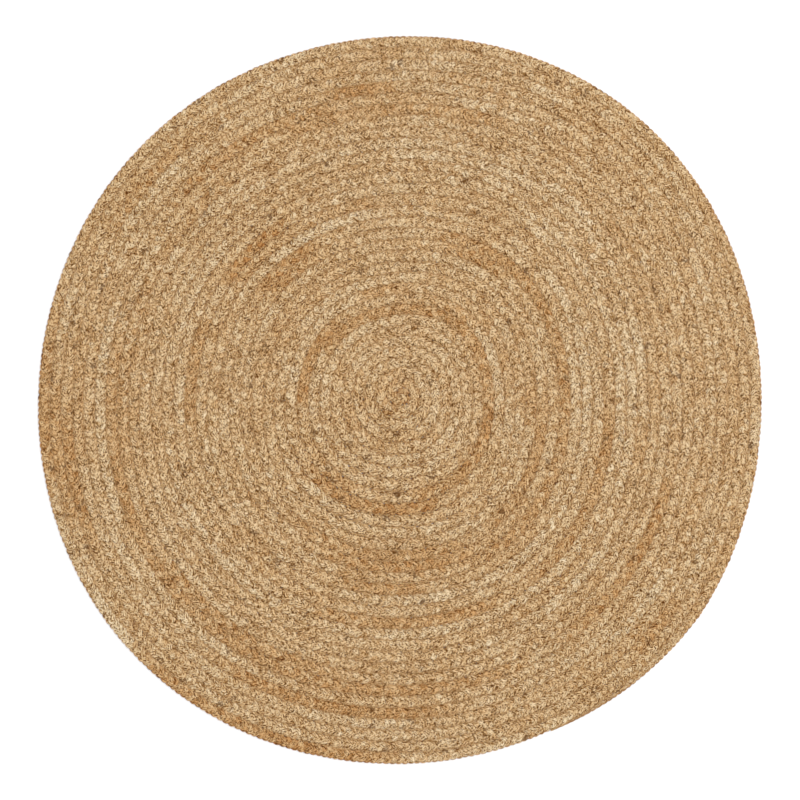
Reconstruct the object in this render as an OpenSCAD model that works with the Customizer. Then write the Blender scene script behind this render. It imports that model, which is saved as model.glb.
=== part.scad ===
// Round rug: one long flat plait, coiled clockwise from the middle outward and sewn row to row.
// The underside lies on z = 0 and the middle of the rug's outline is over the origin.
// Each full turn of the coil is a solid of its own, and so is each length of sewing thread.

/* [Braid] */
// Width of the plait across one row
braid_w = 22.4; // [14:0.1:30]
// Thickness of the plait, lying flat
braid_h = 9; // [5:0.5:14]
// Number of turns in the coil, counting the middle one
turns = 32; // [8:1:44]

/* [Sewing thread] */
// Gap between one row and the next, which the stitches fill
seam_w = 0.7; // [0.4:0.1:2]
// Height of the band of stitches inside the gap
stitch_h = 3; // [1:0.5:4.5]
// Turns sewn with one length of thread
turns_per_thread = 4; // [3:1:8]

/* [Tail] */
// Length over which the end of the plait thins out
tail_len = 390; // [150:10:600]
// Width left at the tip of the tail
tail_tip_w = 2; // [1:0.5:12]
// Direction of the tip from the middle, in degrees from +X
tail_at = 294; // [0:1:359]

/* [Hand-wound shape] */
// How far the rows lie off the middle, towards drift_at
drift = 19.5; // [0:0.5:30]
// Direction of the drift
drift_at = 254; // [0:1:359]
// How much longer than round the rows are, along oval_at
oval = 7; // [0:0.5:12]
// Direction of the long way of the oval
oval_at = 69; // [0:1:179]
// Height of the three-sided swell of the rows
three_sided = 2.5; // [0:0.5:6]
// Direction of the first of its three crests
three_sided_at = 60; // [0:1:119]
// Height of the four-sided swell of the rows
four_sided = 4; // [0:0.5:6]
// Direction of the first of its four crests
four_sided_at = 45; // [0:1:89]
// Distance from the eye by which the swells have their full height
settle_r = 260; // [200:10:400]

/* [Hidden] */
step = 5; // angle between the corners of a row's outline
pitch = braid_w + seam_w; // from one row to the next
end_turn = 360 * turns; // running angle at the tip of the tail
rim_r = pitch * turns + braid_w;
tail_turn = step * ceil(tail_len / (rim_r * step * PI / 180));
sewn_turns = turns - 1;
threads = ceil(sewn_turns / turns_per_thread);
jute = "#BB9A71";
thread_tan = "#A98A62";

// Names end in two digits, so that they sort in the order of the coil.
function numbered(name, n) = str(name, n < 10 ? "_0" : "_", n);

// The coil is described by a running angle: 0 at the start of the plait, end_turn at the tip of its tail.
function direction(turn) = tail_at + end_turn - turn;

// How far a round row swells outward in a direction, once it is clear of the eye.
function swell(at) =
    drift * cos(at - drift_at)
    + oval * cos(2 * (at - oval_at))
    + three_sided * cos(3 * (at - three_sided_at))
    + four_sided * cos(4 * (at - four_sided_at));

// A corner of a row's edge, before the coil is centred: across is its distance from the row's inner edge.
function coil_point(turn, across) =
    let (
        r = pitch * turn / 360 + across,
        at = direction(turn)
    )
    (r + swell(at) * min(1, r / settle_r)) * [cos(at), sin(at)];

// The width of the plait: full as far as the tail, then thinning to the tip.
function width_at(turn) =
    turn <= end_turn - tail_turn
        ? braid_w
        : tail_tip_w + (braid_w - tail_tip_w) * (end_turn - turn) / tail_turn;

rim = [for (turn = [end_turn - 360:step:end_turn]) coil_point(turn, width_at(turn))];
rim_x = [for (p = rim) p.x];
rim_y = [for (p = rim) p.y];
middle = [min(rim_x) + max(rim_x), min(rim_y) + max(rim_y)] / 2;

// The two edges of the plait between two running angles, and the far edge of the gap outside it.
function inner_edge(from, to) = [for (turn = [from:step:to]) coil_point(turn, 0)];
function outer_edge(from, to) = [for (turn = [to:-step:from]) coil_point(turn, width_at(turn))];
function next_row(from, to) = [for (turn = [from:step:to]) coil_point(turn, pitch)];

// A flat outline, placed so that the whole rug is centred on the origin, given its thickness.
module sheet_of(outline, height) {
    translate(-middle)
        linear_extrude(height)
            polygon(outline);
}

// The middle of the coil, where the start of the plait is folded in and fills the eye.
module braid_center_turn() {
    color(jute)
        sheet_of(concat([coil_point(360, 0)], outer_edge(0, 360)), braid_h);
}

// A run of the plait between two running angles.
module run_of_plait(from, to) {
    color(jute)
        sheet_of(concat(inner_edge(from, to), outer_edge(from, to)), braid_h);
}

// One full turn of the plait. The last one stops where the tail begins.
module braid_turn(k) {
    run_of_plait(360 * (k - 1), min(360 * k, end_turn - tail_turn));
}

// The end of the plait, thinned out against the row inside it.
module braid_tail() {
    run_of_plait(end_turn - tail_turn, end_turn);
}

// One length of thread, sewn along the gap between its rows at half the plait's thickness.
module sewing_thread(t) {
    first = 360 * turns_per_thread * (t - 1);
    last = min(360 * turns_per_thread * t, 360 * sewn_turns);
    color(thread_tan)
        translate([0, 0, (braid_h - stitch_h) / 2])
            sheet_of(concat(next_row(first, last), outer_edge(first, last)), stitch_h);
}

braid_center_turn();
for (k = [2:turns]) braid_turn(k);
braid_tail();
for (t = [1:threads]) sewing_thread(t);
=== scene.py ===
import math

import bpy
import numpy as np
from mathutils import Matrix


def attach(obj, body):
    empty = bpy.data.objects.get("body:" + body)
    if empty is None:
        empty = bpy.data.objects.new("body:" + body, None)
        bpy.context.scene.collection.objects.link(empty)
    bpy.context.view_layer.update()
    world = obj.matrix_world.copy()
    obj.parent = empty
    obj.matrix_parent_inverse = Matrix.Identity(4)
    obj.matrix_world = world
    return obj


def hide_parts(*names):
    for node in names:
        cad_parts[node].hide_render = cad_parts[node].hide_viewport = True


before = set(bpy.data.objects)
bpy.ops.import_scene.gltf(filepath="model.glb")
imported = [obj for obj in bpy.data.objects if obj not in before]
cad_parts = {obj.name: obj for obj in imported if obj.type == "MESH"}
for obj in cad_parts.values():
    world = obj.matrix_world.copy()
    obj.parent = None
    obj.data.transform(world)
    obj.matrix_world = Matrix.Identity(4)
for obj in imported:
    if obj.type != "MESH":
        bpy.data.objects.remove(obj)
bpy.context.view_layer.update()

# --- The plait ---------------------------------------------------------------------------------
# One flat plait of three strands, each a soft bundle of three jute yarns side by side. It is wound
# clockwise from the eye outward and sewn row to row, and each full turn of the coil is a piece here.

MM = 0.001
turns = 32
plait_w = 22.4 * MM
plait_h = 9 * MM
seam_w = 0.7 * MM
pitch = plait_w + seam_w
tail_at = math.radians(294)
tail_len = 390 * MM
tail_tip_w = 2 * MM
tail_tip_share = tail_tip_w / plait_w
step_deg = 5
tail_step = math.radians(step_deg)
tail_steps = math.ceil(tail_len / ((pitch * turns + plait_w) * tail_step))
tail_turns = tail_step * tail_steps / (2 * math.pi)

# The plait starts thin inside the eye, before the coil's first turn.
start_turn = -0.85

strands = 3
strand_w = 11.4 * MM
strand_h = 5.2 * MM
strand_lean = math.radians(14)
row_press = 0.3 * MM
strand_sway = (pitch - strand_w) / 2 + row_press
fold_sharpness = 0.08
strand_rise = (plait_h - strand_h) / 2
long_plait = 43.2 * MM
short_plait = 36.6 * MM
tighter_from = 25.3
yarns = 3
ply_pitch = 3.9 * MM

# A strand's outline is creased on top and below. Its own half height is a little over outline_top,
# so a strand comes out about 5.5 mm thick.
corners_round = 10
crease_depth = 0.25
outline_top = 0.727

# Corners along a strand for each plait, and how far they gather at its bends. They don't gather
# in the first and last part of a run, one part in gather_ends, so that runs meet.
corners_along = 12
gather = 0.2
gather_ends = 40

# Hand work is uneven: how much each thing wanders, and the length of plait it wanders over.
plait_wander = 0.09
plait_wander_over = 110 * MM
sway_wander = 0.07
sway_wander_over = 23 * MM
rise_wander = 0.4 * MM
rise_wander_over = 12 * MM
plump_wander = 0.12
plump_wander_over = 15 * MM

# The hand-wound shape: how far the rows stand off from round, and in which direction.
drift = 19.5 * MM
drift_at = math.radians(254)
oval = 7 * MM
oval_at = math.radians(69)
three_sided = 2.5 * MM
three_sided_at = math.radians(60)
four_sided = 4 * MM
four_sided_at = math.radians(45)
settle_r = 260 * MM


def swell(at):
    """How far a row stands outward of round in a direction, once it is clear of the eye."""
    return (
        drift * np.cos(at - drift_at)
        + oval * np.cos(2 * (at - oval_at))
        + three_sided * np.cos(3 * (at - three_sided_at))
        + four_sided * np.cos(4 * (at - four_sided_at))
    )


def run_length(turn):
    """Length of plait from the coil's first turn to this one, along the middle of the plait."""
    return math.pi * turn * (pitch * max(turn, 0) + plait_w)


# The outer edge of the last turn, which sets where the middle of the rug is.
rim_turn = np.radians(np.arange(0, 360 + step_deg, step_deg)) / (2 * math.pi) + turns - 1
rim_w = np.where(
    rim_turn < turns - tail_turns,
    1,
    tail_tip_share + (1 - tail_tip_share) * (turns - rim_turn) / tail_turns,
) * plait_w
rim_at = tail_at + 2 * math.pi * (turns - rim_turn)
rim_r = pitch * rim_turn + rim_w + swell(rim_at)
rim_x = rim_r * np.cos(rim_at)
rim_y = rim_r * np.sin(rim_at)
middle_x = (rim_x.min() + rim_x.max()) / 2
middle_y = (rim_y.min() + rim_y.max()) / 2


class Field:
    """A number that a node tree works out at every point, so that a shape's rule reads as sums."""

    def __init__(self, tree, socket):
        self.tree = tree
        self.socket = socket

    def op(self, operation, *others):
        node = self.tree.nodes.new("ShaderNodeMath")
        node.operation = operation
        for slot, value in zip(node.inputs, (self, *others)):
            if isinstance(value, Field):
                self.tree.links.new(value.socket, slot)
            else:
                slot.default_value = value
        return Field(self.tree, node.outputs[0])

    def __add__(self, other):
        return self.op("ADD", other)

    def __sub__(self, other):
        return self.op("SUBTRACT", other)

    def __mul__(self, other):
        return self.op("MULTIPLY", other)

    def __truediv__(self, other):
        return self.op("DIVIDE", other)

    def __radd__(self, other):
        return self.op("ADD", other)

    def __rmul__(self, other):
        return self.op("MULTIPLY", other)

    def __rsub__(self, other):
        return self.op("MULTIPLY", -1).op("ADD", other)

    def sin(self):
        return self.op("SINE")

    def cos(self):
        return self.op("COSINE")


def node(tree, kind, settings=(), **inputs):
    """A node with its settings, and its inputs linked or filled by name. _ stands for a space."""
    made = tree.nodes.new(kind)
    for name, value in dict(settings).items():
        setattr(made, name, value)
    for name, value in inputs.items():
        slot = made.inputs[name.replace("_", " ")]
        if isinstance(value, Field):
            tree.links.new(value.socket, slot)
        elif isinstance(value, bpy.types.NodeSocket):
            tree.links.new(value, slot)
        else:
            slot.default_value = value
    return made


along_a_line = {"noise_dimensions": "1D"}


def unevenness(tree, along, over, seed):
    """A slow random wander along the plait, from about -1 to 1."""
    noise = node(tree, "ShaderNodeTexNoise", along_a_line, W=along / over + seed, Scale=1.0, Detail=1.0)
    return (Field(tree, noise.outputs[0]) - 0.5) * 3


strand_inputs = {
    "First turn": ("NodeSocketFloat", 0.0),
    "Last turn": ("NodeSocketFloat", 1.0),
    "Corners": ("NodeSocketInt", 100),
    "Strand": ("NodeSocketFloat", 0.0),
    "Strand width": ("NodeSocketFloat", strand_w),
    "Strand height": ("NodeSocketFloat", strand_h),
    "Sway": ("NodeSocketFloat", strand_sway),
    "Rise": ("NodeSocketFloat", strand_rise),
}


def new_shape_tree(name, inputs):
    tree = bpy.data.node_groups.new(name, "GeometryNodeTree")
    for label, (kind, value) in inputs.items():
        tree.interface.new_socket(label, in_out="INPUT", socket_type=kind).default_value = value
    tree.interface.new_socket("Geometry", in_out="OUTPUT", socket_type="NodeSocketGeometry")
    return tree


def row_swell_at(at):
    """The same swell as above, worked out inside a node tree."""
    return (
        (at - drift_at).cos() * drift
        + ((at - oval_at) * 2).cos() * oval
        + ((at - three_sided_at) * 3).cos() * three_sided
        + ((at - four_sided_at) * 4).cos() * four_sided
    )


def length_at(turn):
    """The same length of plait as above, worked out inside a node tree."""
    return math.pi * turn * (turn.op("MAXIMUM", 0) * pitch + plait_w)


def turn_at(along):
    """The turn of the coil that a length of plait reaches to."""
    return ((along * (4 * pitch / math.pi) + plait_w**2).op("SQRT") - plait_w) / (2 * pitch)


def plaits_at(tree, along):
    """How many times the strands have gone over and under by a length of plait."""
    plaits = along / long_plait
    plaits += (along - run_length(tighter_from)).op("MAXIMUM", 0) * (1 / short_plait - 1 / long_plait)
    plaits += unevenness(tree, along, plait_wander_over, seed=3.0) * plait_wander
    return plaits


def line_of_corners(tree, count):
    """A line to be laid in the coil, with each corner's number and its share of the way along."""
    line = node(tree, "GeometryNodeCurvePrimitiveLine")
    line = node(tree, "GeometryNodeResampleCurve", Curve=line.outputs[0], Count=count)
    index = Field(tree, node(tree, "GeometryNodeInputIndex").outputs[0])
    return line, index, index / (count - 1)


def laid_in_coil(tree, line, turn, r, height):
    """The line, with its corners moved to their places in the coil."""
    at = tail_at + (turns - turn) * (2 * math.pi)
    r += row_swell_at(at) * (r / settle_r).op("MINIMUM", 1)
    x = at.cos() * r - middle_x
    y = at.sin() * r - middle_y
    place = node(tree, "ShaderNodeCombineXYZ", X=x, Y=y, Z=height)
    return node(tree, "GeometryNodeSetPosition", Geometry=line.outputs[0], Position=place.outputs[0])


def marked(tree, shape, name, kind, value):
    """The shape, with a value kept at every point under a name that its material reads."""
    return node(
        tree,
        "GeometryNodeStoreNamedAttribute",
        {"data_type": kind},
        Geometry=shape.outputs[0],
        Name=name,
        Value=value,
    )


def build_strand_tree():
    """One strand of the plait: it sways from edge to edge and passes over and under the other two."""
    tree = new_shape_tree("strand of the plait", strand_inputs)
    given = tree.nodes.new("NodeGroupInput")

    def size(label):
        return Field(tree, given.outputs[label])

    def phase_at(along):
        return plaits_at(tree, along) * (2 * math.pi) + size("Strand") * (2 * math.pi / strands)

    def wander(apart, over, seed):
        """Unevenness of one strand by itself: apart keeps it from following the other two."""
        return unevenness(tree, along + size("Strand") * apart, over, seed)

    line, index, share = line_of_corners(tree, size("Corners"))
    start = length_at(size("First turn"))
    stop = length_at(size("Last turn"))
    along = start + share * (stop - start)
    inside = (share * gather_ends).op("MINIMUM", 1) * ((1 - share) * gather_ends).op("MINIMUM", 1)
    along += (phase_at(along) * 2).sin() * inside * (gather * long_plait / (2 * math.pi))
    phase = phase_at(along)
    turn = turn_at(along.op("MAXIMUM", 0))
    turn += along.op("MINIMUM", 0) / (math.pi * plait_w)

    tail_left = ((turns - turn) / tail_turns).op("MINIMUM", 1).op("MAXIMUM", 0)
    fullness = (tail_left * (1 - tail_tip_share) + tail_tip_share) * (turn + 1).op("MINIMUM", 1)
    wave = phase.sin() - (phase * 3).sin() * fold_sharpness
    sideways = wave * size("Sway") * (wander(7.7, sway_wander_over, seed=11.0) * sway_wander + 1)
    across = (sideways + plait_w / 2) * fullness
    height = (phase * 2).sin() * size("Rise") * fullness + plait_h / 2
    height += wander(5.9, rise_wander_over, seed=17.0) * rise_wander

    curve = laid_in_coil(tree, line, turn, turn.op("MAXIMUM", 0) * pitch + across, height)
    curve = node(tree, "GeometryNodeSetCurveNormal", {"mode": "Z_UP"}, Curve=curve.outputs[0])
    roll = phase.sin() * -strand_lean
    curve = node(tree, "GeometryNodeSetCurveTilt", Curve=curve.outputs[0], Tilt=roll)
    plump = fullness * (wander(3.1, plump_wander_over, seed=5.0) * plump_wander + 1)
    lay = node(tree, "ShaderNodeCombineXYZ", X=size("Strand"), Y=turn, Z=phase / (2 * math.pi))
    curve = marked(tree, curve, "braid_place", "FLOAT_VECTOR", lay.outputs[0])
    curve = marked(tree, curve, "along", "FLOAT", along)

    ring = node(tree, "GeometryNodeCurvePrimitiveCircle", Resolution=corners_round)
    round_at = (index + 0.5) * (2 * math.pi / corners_round)
    crease = (1 - round_at.cos().op("ABSOLUTE")).op("POWER", 2) * crease_depth
    outline_x = round_at.cos() * size("Strand width") * (0.5 / math.cos(math.pi / corners_round))
    outline_y = round_at.sin() * (1 - crease) * size("Strand height") * (0.5 / outline_top)
    outline = node(tree, "ShaderNodeCombineXYZ", X=outline_x, Y=outline_y)
    ring = node(tree, "GeometryNodeSetPosition", Geometry=ring.outputs[0], Position=outline.outputs[0])
    yarn_side = node(tree, "ShaderNodeCombineXYZ", X=round_at.cos(), Y=round_at.sin())
    ring = marked(tree, ring, "yarn_side", "FLOAT_VECTOR", yarn_side.outputs[0])
    tube = node(
        tree,
        "GeometryNodeCurveToMesh",
        Curve=curve.outputs[0],
        Profile_Curve=ring.outputs[0],
        Scale=plump,
        Fill_Caps=True,
    )
    out = tree.nodes.new("NodeGroupOutput")
    tree.links.new(tube.outputs[0], out.inputs[0])
    return tree


def build_plait_tree(strand_tree, material):
    """Three strands, a third of a plait apart, pressed flat where they lie on the floor."""
    inputs = {k: v for k, v in strand_inputs.items() if k != "Strand"}
    tree = new_shape_tree("three-strand plait", inputs)
    given = tree.nodes.new("NodeGroupInput")
    join = tree.nodes.new("GeometryNodeJoinGeometry")
    for number in range(strands):
        strand = tree.nodes.new("GeometryNodeGroup")
        strand.node_tree = strand_tree
        strand.inputs["Strand"].default_value = number
        for label in inputs:
            tree.links.new(given.outputs[label], strand.inputs[label])
        tree.links.new(strand.outputs[0], join.inputs[0])
    real = node(tree, "GeometryNodeRealizeInstances", Geometry=join.outputs[0])
    corner = node(tree, "ShaderNodeSeparateXYZ", Vector=node(tree, "GeometryNodeInputPosition").outputs[0])
    x, y, z = (Field(tree, corner.outputs[i]) for i in range(3))
    pressed = node(tree, "ShaderNodeCombineXYZ", X=x, Y=y, Z=z.op("MAXIMUM", 0))
    flat = node(tree, "GeometryNodeSetPosition", Geometry=real.outputs[0], Position=pressed.outputs[0])
    painted = node(tree, "GeometryNodeSetMaterial", Geometry=flat.outputs[0], Material=material)
    out = tree.nodes.new("NodeGroupOutput")
    tree.links.new(painted.outputs[0], out.inputs[0])
    return tree


def mask(tree, value, low, high):
    """A smooth step of a value: 0 up to low, 1 from high on."""
    made = node(tree, "ShaderNodeMapRange", {"interpolation_type": "SMOOTHSTEP"})
    tree.links.new(value.socket, made.inputs["Value"])
    made.inputs["From Min"].default_value = low
    made.inputs["From Max"].default_value = high
    return Field(tree, made.outputs[0])


def build_fibre_group():
    """Jute fibre, laid along x: pale and dark streaks, dark flecks of bark, and the height of the fibres."""
    tree = bpy.data.node_groups.new("jute fibre", "ShaderNodeTree")
    tree.interface.new_socket("Place", in_out="INPUT", socket_type="NodeSocketVector")
    for label in ("Streak", "Fleck", "Height"):
        tree.interface.new_socket(label, in_out="OUTPUT", socket_type="NodeSocketFloat")
    given = tree.nodes.new("NodeGroupInput")
    out = tree.nodes.new("NodeGroupOutput")

    def fibres(stretch, scale, detail, seed):
        laid = node(tree, "ShaderNodeMapping", {"vector_type": "POINT"}, Vector=given.outputs[0])
        laid.inputs["Scale"].default_value = (stretch, 1, 1)
        laid.inputs["Location"].default_value = (seed, seed, seed)
        noise = node(tree, "ShaderNodeTexNoise", Vector=laid.outputs[0], Scale=scale, Detail=detail)
        return Field(tree, noise.outputs[0])

    fine = fibres(stretch=0.35, scale=740, detail=1.0, seed=0.0)
    bundle = fibres(stretch=0.3, scale=340, detail=0.0, seed=3.1)
    bark = fibres(stretch=0.7, scale=540, detail=0.0, seed=7.7)
    tree.links.new((fine * 0.86 + bundle * 0.14).socket, out.inputs["Streak"])
    tree.links.new(mask(tree, bark, low=0.63, high=0.67).socket, out.inputs["Fleck"])
    tree.links.new((fine * 0.7 + bundle * 0.3).socket, out.inputs["Height"])
    return tree


fibre_group = build_fibre_group()


def attribute(tree, name, output="Fac"):
    return node(tree, "ShaderNodeAttribute", {"attribute_name": name}).outputs[output]


def drawn(tree, key):
    """A number from 0 to 1, drawn anew for every key."""
    noise = node(tree, "ShaderNodeTexWhiteNoise", Vector=key.outputs[0])
    return Field(tree, noise.outputs["Value"])


def cloudy(tree, place, scale):
    """A soft random pattern, mostly from 0.3 to 0.7."""
    return Field(tree, node(tree, "ShaderNodeTexNoise", Vector=place, Scale=scale, Detail=1.0).outputs[0])


# The fibres twist slowly along a strand and stray a little sideways, and a yarn keeps its shade
# for a short stretch.
fibre_twist = 35 * MM
fibre_stray = 0.8 * MM
fibre_depth = 2 * MM
yarn_shade_length = 21 * MM

# How strongly each thing changes the tone, which goes from rusty at -1 to pale at 1.
arm_tone = 1.5
hand_tone = 1.7
leaf_tone = 0.8
plain_tone = 0.05
palest_tone = 0.9
rust_keeps = (0.90, 0.80, 0.68)

# How strongly each thing changes the shade, which goes from the darkest fibre at 0 to the lightest at 1.
plain_shade = 0.63
streak_contrast = 3.5
leaf_contrast = 0.12
yarn_contrast = 0.25
# The grooves between yarns and plies are darkened as painted shade.
groove_painted_shade = 0.45
fibre_shades = [
    (0.0, (0.075, 0.020, 0.002)),
    (0.25, (0.29, 0.135, 0.028)),
    (0.5, (0.52, 0.345, 0.170)),
    (0.75, (0.61, 0.430, 0.235)),
    (1.0, (0.68, 0.500, 0.295)),
]

# Painted shade: the brown that darkens the colour low in the plait.
painted_shade_brown = (0.66, 0.34, 0.08, 1)
bark_brown = (0.09, 0.032, 0.005, 1)


def build_jute():
    """Undyed jute: straw and tan, each visible leaf of the plait a little lighter or darker than the next."""
    material = bpy.data.materials.new("jute plait")
    material.use_nodes = True
    tree = material.node_tree
    shader = tree.nodes["Principled BSDF"]

    lay = node(tree, "ShaderNodeSeparateXYZ", Vector=attribute(tree, "braid_place", "Vector"))
    strand, turn, plaits = (Field(tree, lay.outputs[i]) for i in range(3))
    side = node(tree, "ShaderNodeSeparateXYZ", Vector=attribute(tree, "yarn_side", "Vector"))
    side_x = Field(tree, side.outputs[0])
    side_y = Field(tree, side.outputs[1])
    along = Field(tree, attribute(tree, "along"))
    tone = Field(tree, attribute(tree, "tone"))

    # Every half plait a strand comes up as one leaf, with its own shade.
    leaf = (plaits * 2 + 0.25).op("FLOOR")
    leaf_shade = drawn(tree, node(tree, "ShaderNodeCombineXYZ", X=strand, Y=leaf))

    # The fibres follow the strand, with the slow twist of its yarns.
    twist = along * (2 * math.pi / fibre_twist)
    turned = side_x * strand_w / 2 + (twist + side_y).sin() * fibre_stray
    deep = strand * 0.37 + side_y * fibre_depth
    place = node(tree, "ShaderNodeCombineXYZ", X=along, Y=turned, Z=deep)
    fibre = tree.nodes.new("ShaderNodeGroup")
    fibre.node_tree = fibre_group
    tree.links.new(place.outputs[0], fibre.inputs["Place"])
    streak = Field(tree, fibre.outputs["Streak"])
    fleck = Field(tree, fibre.outputs["Fleck"])

    # Three yarns lie side by side in a strand, each of twisted plies, with grooves between them.
    across = (side_x + 1) * (yarns / 2)
    yarn = across.op("FLOOR")
    in_yarn = (across - yarn - 0.5).op("ABSOLUTE")
    ply = (along / ply_pitch + (across - yarn) * 0.8 + yarn * 0.37 + strand * 0.53 + streak * 0.5).op("FRACT")
    between_yarns = mask(tree, in_yarn, low=0.34, high=0.5)
    between_plies = mask(tree, (ply - 0.5).op("ABSOLUTE"), low=0.32, high=0.5)
    groove = between_yarns * 0.45 + between_plies * 0.6
    stretch = (along / yarn_shade_length + yarn * 0.3).op("FLOOR")
    yarn_shade = drawn(tree, node(tree, "ShaderNodeCombineXYZ", X=yarn + strand * 7, Y=stretch))

    # Batches of fibre differ, over an arm's length of plait and over a hand's length of one strand.
    arm = node(tree, "ShaderNodeTexNoise", along_a_line, W=along * 2.2, Scale=1.0, Detail=3.0)
    arm = Field(tree, arm.outputs[0])
    hand_key = node(tree, "ShaderNodeCombineXYZ", X=along * 12, Y=strand * 5.3)
    hand = cloudy(tree, hand_key.outputs[0], scale=1.0)
    tone = tone + (arm - 0.5) * arm_tone + (hand - 0.5) * hand_tone + (leaf_shade - 0.5) * leaf_tone
    tone = (tone + plain_tone).op("MINIMUM", palest_tone)

    # Painted shade: the grooves between yarns and plies are painted darker here, as well as sunk by the bump.
    shade = plain_shade + (streak - 0.5) * streak_contrast + (leaf_shade - 0.5) * leaf_contrast
    shade = shade + (yarn_shade - 0.5) * yarn_contrast - groove * groove_painted_shade
    ramp = node(tree, "ShaderNodeValToRGB", Fac=shade)
    for position, colour in fibre_shades[1:-1]:
        ramp.color_ramp.elements.new(position)
    for element, (position, colour) in zip(ramp.color_ramp.elements, fibre_shades):
        element.position = position
        element.color = (*colour, 1)

    # Rusty fibre takes away most of the blue and pale fibre has more of it.
    tint = node(tree, "ShaderNodeCombineColor")
    for channel, share in zip(("Red", "Green", "Blue"), rust_keeps):
        kept = (tone * math.log(share) * -1).op("EXPONENT")
        tree.links.new(kept.socket, tint.inputs[channel])
    toned = node(tree, "ShaderNodeMix", {"data_type": "RGBA", "blend_type": "MULTIPLY"}, Factor=1.0)
    tree.links.new(ramp.outputs[0], toned.inputs[6])
    tree.links.new(tint.outputs[0], toned.inputs[7])

    # Painted shade: the colour is darkened to brown low in the plait, in its crevices and seams. Flecks of
    # bark are dark brown, and so is a rare slub.
    object_place = node(tree, "ShaderNodeTexCoord").outputs["Object"]
    height = Field(tree, node(tree, "ShaderNodeSeparateXYZ", Vector=object_place).outputs[2])
    # Painted shade: this mask darkens the colour towards the bottom of the plait.
    low = 1 - mask(tree, height, low=2 * MM, high=7.5 * MM)
    painted_low_shade = node(tree, "ShaderNodeMix", {"data_type": "RGBA", "blend_type": "MULTIPLY"})
    tree.links.new(low.socket, painted_low_shade.inputs["Factor"])
    tree.links.new(toned.outputs[2], painted_low_shade.inputs[6])
    painted_low_shade.inputs[7].default_value = painted_shade_brown
    slub_draw = drawn(tree, node(tree, "ShaderNodeCombineXYZ", X=strand + 4, Y=leaf, Z=2.5))
    slub_ends = cloudy(tree, object_place, scale=170.0)
    slub = mask(tree, slub_draw, low=0.982, high=0.986) * mask(tree, slub_ends, low=0.44, high=0.56)
    flecked = node(tree, "ShaderNodeMix", {"data_type": "RGBA"})
    tree.links.new((fleck * 0.95).op("MAXIMUM", slub * 0.75).socket, flecked.inputs["Factor"])
    tree.links.new(painted_low_shade.outputs[2], flecked.inputs[6])
    flecked.inputs[7].default_value = bark_brown
    tree.links.new(flecked.outputs[2], shader.inputs["Base Color"])

    bump = node(tree, "ShaderNodeBump", Strength=0.9, Distance=1.2 * MM)
    tree.links.new((Field(tree, fibre.outputs["Height"]) * 0.7 - groove * 0.6).socket, bump.inputs["Height"])
    tree.links.new(bump.outputs[0], shader.inputs["Normal"])
    tree.links.new((0.95 - streak * 0.2).socket, shader.inputs["Roughness"])
    shader.inputs["Specular IOR Level"].default_value = 0.15
    return material


jute = build_jute()

strand_tree = build_strand_tree()
plait_tree = build_plait_tree(strand_tree, jute)


def shaped(name, tree, **inputs):
    """A plain mesh object made by a shape tree, with its inputs set by their labels."""
    piece = bpy.data.objects.new(name, bpy.data.meshes.new(name))
    bpy.context.scene.collection.objects.link(piece)
    modifier = piece.modifiers.new("shape", "NODES")
    modifier.node_group = tree
    for item in tree.interface.items_tree:
        label = item.name.replace(" ", "_")
        if item.in_out == "INPUT" and label in inputs:
            modifier[item.identifier] = inputs[label]
    bpy.context.view_layer.update()
    graph = bpy.context.evaluated_depsgraph_get()
    mesh = bpy.data.meshes.new_from_object(
        piece.evaluated_get(graph), preserve_all_data_layers=True, depsgraph=graph
    )
    piece.modifiers.remove(modifier)
    piece.data = mesh
    return piece


def corners_for(first, last):
    """Corners along a strand: about corners_along for each plait, and the same on every strand."""
    loose_run = run_length(min(last, tighter_from)) - run_length(min(first, tighter_from))
    tight_run = run_length(max(last, tighter_from)) - run_length(max(first, tighter_from))
    return int(corners_along * (loose_run / long_plait + tight_run / short_plait)) + 1


runs = [("braid_center_turn", start_turn, 1)]
runs += [(f"braid_turn_{k:02d}", k - 1, min(k, turns - tail_turns)) for k in range(2, turns + 1)]
runs += [("braid_tail", turns - tail_turns, turns)]

# Where the fibre in hand was paler or rustier, as runs of the coil: (from turn, to turn, tone).
# -1 is a strong rust and 1 a bleached straw.
tone_runs = [
    (-0.85, 1.6, -0.5),
    (4.5, 6.4, 0.2),
    (7.4, 8.05, -0.9),
    (7.84, 7.9, -0.6),
    (8.13, 8.22, -0.7),
    (8.3, 8.45, -1.0),
    (8.64, 8.7, -0.8),
    (9.02, 9.2, -1.1),
    (9.5, 9.58, -0.7),
    (10.05, 10.2, 0.6),
    (11.8, 11.86, -0.6),
    (12.84, 12.97, -0.8),
    (13.0, 13.18, -0.8),
    (13.62, 13.68, -1.0),
    (14.0, 14.15, -0.9),
    (14.42, 14.47, -0.8),
    (14.6, 15.0, -0.9),
    (15.0, 15.12, -0.5),
    (15.42, 15.48, -1.0),
    (16.05, 16.12, -0.9),
    (16.45, 16.55, 0.8),
    (16.7, 17.05, 0.9),
    (17.4, 17.55, -0.7),
    (18.3, 18.37, -0.9),
    (18.41, 18.47, -1.7),
    (18.83, 18.97, -0.9),
    (19.0, 19.13, -0.9),
    (19.66, 20.3, 0.6),
    (20.6, 20.9, 0.5),
    (21.56, 21.8, 0.6),
    (22.55, 22.7, 0.6),
    (24.1, 24.22, -0.7),
    (24.28, 24.45, -0.6),
    (24.87, 24.97, -1.2),
    (25.0, 25.35, -0.9),
    (25.5, 25.62, -0.7),
    (26.25, 26.36, 1.0),
    (26.43, 26.53, -0.9),
    (27.04, 27.16, -0.9),
    (27.53, 27.56, -1.5),
    (27.9, 27.96, 0.9),
    (28.85, 28.9, 0.7),
    (29.25, 29.3, -1.2),
    (29.4, 29.46, -0.8),
    (29.92, 29.95, -1.2),
    (30.25, 30.32, -0.7),
    (31.07, 31.19, -1.1),
    (31.28, 31.36, -0.8),
    (31.2, 31.23, 0.8),
]


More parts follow.
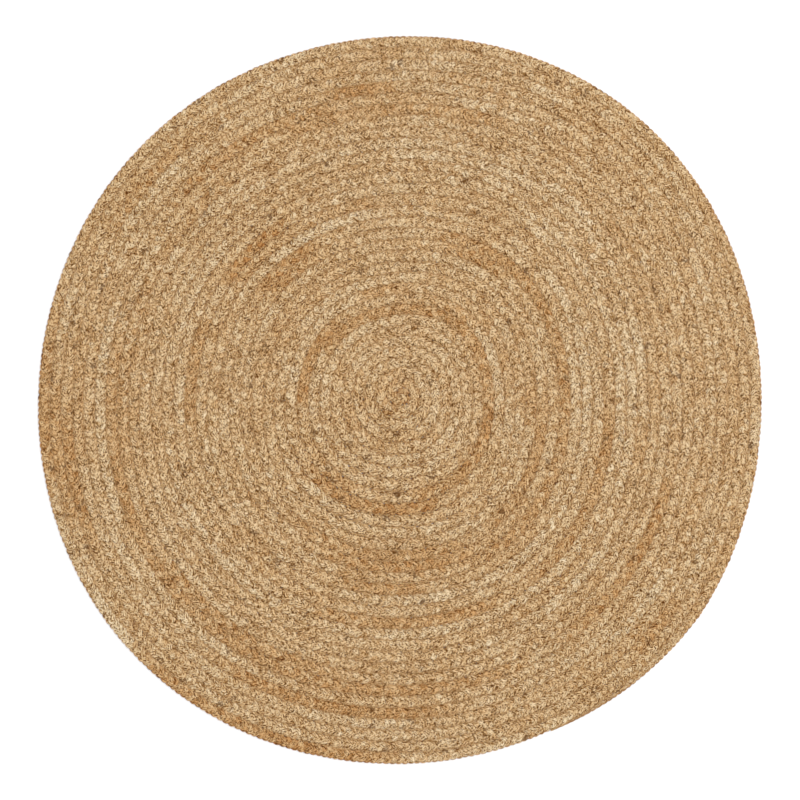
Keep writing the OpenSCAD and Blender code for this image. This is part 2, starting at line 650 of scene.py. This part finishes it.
def flat_size(first, last):
    """Three strands of a run, pulled straight and laid side by side: their width, length and area."""
    steps = 400
    steps_in_plait = 60
    turn = np.linspace(first, last, steps)
    along = np.array([run_length(t) for t in turn])
    fullness = np.clip((turns - turn) / tail_turns, 0, 1) * (1 - tail_tip_share) + tail_tip_share
    fullness = fullness * np.minimum(turn + 1, 1)
    plait = np.where(turn < tighter_from, long_plait, short_plait)
    phase = np.linspace(0, 2 * math.pi, steps_in_plait)[:, None]
    sideways = fullness * strand_sway * np.cos(phase) * 2 * math.pi / plait
    upward = fullness * strand_rise * np.cos(2 * phase) * 4 * math.pi / plait
    length = np.sqrt(1 + sideways**2 + upward**2).mean(axis=0)[1:] * np.diff(along)
    width = strands * strand_w
    return (width, float(length.sum())), float((width * length * fullness[1:]).sum())


def tone_of(turn, strand):
    """How pale or rusty each point is. A run is strongest in one strand and fades at both ends."""
    fade = 0.02
    in_one_strand = 1.6
    in_the_others = 0.7
    pale_share = 0.6
    tone = np.zeros(len(turn), np.float32)
    for number, (first, last, amount) in enumerate(tone_runs):
        share = np.where(np.round(strand) == number % strands, in_one_strand, in_the_others)
        if amount > 0:
            share = share * pale_share
        begun = np.clip((turn - first) / fade + 0.5, 0, 1)
        left = np.clip((last - turn) / fade + 0.5, 0, 1)
        tone += amount * share * begun * left
    return tone


for cad_name, first, last in runs:
    plait = shaped(
        cad_name.replace("braid", "plait"),
        plait_tree,
        First_turn=float(first),
        Last_turn=float(last),
        Corners=corners_for(first, last),
    )
    lay = np.empty(len(plait.data.vertices) * 3, np.float32)
    plait.data.attributes["braid_place"].data.foreach_get("vector", lay)
    tone = plait.data.attributes.new("tone", "FLOAT", "POINT")
    tone.data.foreach_set("value", tone_of(lay[1::3], lay[0::3]))
    sides = np.empty(len(plait.data.polygons), int)
    plait.data.polygons.foreach_get("loop_total", sides)
    plait.data.polygons.foreach_set("use_smooth", sides == 4)
    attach(plait, "root")
    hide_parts(cad_name)
    cut, cut_area = flat_size(first, last)

# --- The sewing thread -------------------------------------------------------------------------
# Jute twine that holds each row to the next. It runs in the seam and crosses it at every leaf of
# the plait: it lies low at one row's edge, comes up over the seam and goes down at the other's.

twine_w = 4 * MM
twine_sides = 6
twine_reach = 1.2 * MM
twine_low = 3.2 * MM
twine_rise = 1.6 * MM
twine_ply = 4 * MM
reach_wander = 0.25
twine_rise_wander = 0.15
twine_wander_over = 19 * MM
points_per_crossing = 5
turns_per_thread = 4
sewn_turns = turns - 1


def build_twine_tree(material):
    """A length of twine: it swings from one row's edge to the other's, once for every leaf."""
    inputs = {
        "First turn": ("NodeSocketFloat", 0.0),
        "Last turn": ("NodeSocketFloat", 1.0),
        "Corners": ("NodeSocketInt", 100),
        "Reach": ("NodeSocketFloat", twine_reach),
        "Twine width": ("NodeSocketFloat", twine_w),
    }
    tree = new_shape_tree("twine in a seam", inputs)
    given = tree.nodes.new("NodeGroupInput")

    def size(label):
        return Field(tree, given.outputs[label])

    line, _, share = line_of_corners(tree, size("Corners"))
    start = length_at(size("First turn"))
    stop = length_at(size("Last turn"))
    along = start + share * (stop - start)
    turn = turn_at(along)
    crossing = (plaits_at(tree, along) * strands - 0.25) * math.pi
    uneven = unevenness(tree, along, twine_wander_over, seed=21.0)

    r = turn * pitch + plait_w + seam_w / 2 + crossing.sin() * size("Reach") * (uneven * reach_wander + 1)
    height = twine_low + crossing.cos() * crossing.cos() * twine_rise * (uneven * twine_rise_wander + 1)
    curve = laid_in_coil(tree, line, turn, r, height)
    curve = marked(tree, curve, "along", "FLOAT", along)
    radius = size("Twine width") / 2
    ring = node(tree, "GeometryNodeCurvePrimitiveCircle", Resolution=twine_sides, Radius=radius)
    tube = node(
        tree,
        "GeometryNodeCurveToMesh",
        Curve=curve.outputs[0],
        Profile_Curve=ring.outputs[0],
        Fill_Caps=True,
    )
    real = node(tree, "GeometryNodeRealizeInstances", Geometry=tube.outputs[0])
    painted = node(tree, "GeometryNodeSetMaterial", Geometry=real.outputs[0], Material=material)
    out = tree.nodes.new("NodeGroupOutput")
    tree.links.new(painted.outputs[0], out.inputs[0])
    return tree


def build_twine():
    """Two-ply jute twine, a little browner than the plait, with its plies twisted round each other."""
    material = bpy.data.materials.new("jute twine")
    material.use_nodes = True
    tree = material.node_tree
    shader = tree.nodes["Principled BSDF"]
    along = Field(tree, attribute(tree, "along"))
    place = node(tree, "ShaderNodeTexCoord").outputs["Object"]
    fibre = tree.nodes.new("ShaderNodeGroup")
    fibre.node_tree = fibre_group
    tree.links.new(place, fibre.inputs["Place"])
    streak = Field(tree, fibre.outputs["Streak"])
    ply = (along * (2 * math.pi / twine_ply)).sin()
    # Painted shade and painted highlight: the twine is darker in the hollows between its plies and lighter on
    # their crowns, following the ply wave of the bump.
    shade = 0.5 + (streak - 0.5) * 2.0 + ply * 0.12
    ramp = node(tree, "ShaderNodeValToRGB", Fac=shade)
    dark, pale = ramp.color_ramp.elements
    dark.position = 0.1
    dark.color = (0.17, 0.075, 0.018, 1)
    pale.position = 0.9
    pale.color = (0.62, 0.42, 0.20, 1)
    tree.links.new(ramp.outputs[0], shader.inputs["Base Color"])
    bump = node(tree, "ShaderNodeBump", Strength=0.7, Distance=0.5 * MM)
    tree.links.new((ply * 0.4 + streak).socket, bump.inputs["Height"])
    tree.links.new(bump.outputs[0], shader.inputs["Normal"])
    shader.inputs["Roughness"].default_value = 0.9
    shader.inputs["Specular IOR Level"].default_value = 0.25
    return material


twine_tree = build_twine_tree(build_twine())
for number in range(1, math.ceil(sewn_turns / turns_per_thread) + 1):
    first = turns_per_thread * (number - 1)
    last = min(turns_per_thread * number, sewn_turns)
    crossings = strands * corners_for(first, last) / corners_along
    twine = shaped(
        f"sewing_twine_{number:02d}",
        twine_tree,
        First_turn=float(first),
        Last_turn=float(last),
        Corners=int(crossings * points_per_crossing) + 1,
    )
    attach(twine, "root")
    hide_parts(f"sewing_thread_{number:02d}")

# --- The floor, the light and the camera ---------------------------------------------------------
# A plain white studio floor under a wide soft light, seen from straight above.

floor_w = 12
bpy.ops.mesh.primitive_plane_add(size=floor_w)
floor = bpy.context.object
floor.name = "floor"
paper = bpy.data.materials.new("white floor")
paper.use_nodes = True
paper_shader = paper.node_tree.nodes["Principled BSDF"]
paper_shader.inputs["Base Color"].default_value = (0.9, 0.9, 0.9, 1)
paper_shader.inputs["Roughness"].default_value = 0.8
floor.data.materials.append(paper)

scene = bpy.context.scene
scene.view_settings.view_transform = "Standard"
world = bpy.data.worlds.new("studio")
scene.world = world
world.use_nodes = True
sky = world.node_tree.nodes["Background"]
sky.inputs["Color"].default_value = (1, 1, 1, 1)
sky.inputs["Strength"].default_value = 1.17

lamp = bpy.data.lights.new("soft box", "AREA")
lamp.shape = "SQUARE"
lamp.size = 4
lamp.energy = 110
soft_box = bpy.data.objects.new("soft box", lamp)
soft_box.location = (2.4, 1.1, 5.2)
soft_box.rotation_euler = (math.radians(27), 0, math.radians(115))
scene.collection.objects.link(soft_box)

view_w = 1.645
camera = bpy.data.cameras.new("camera")
camera.lens = 150
camera.sensor_width = 36
camera_height = view_w * camera.lens / camera.sensor_width
eye = bpy.data.objects.new("camera", camera)
eye.location = (0, 0, camera_height)
scene.collection.objects.link(eye)
scene.camera = eye
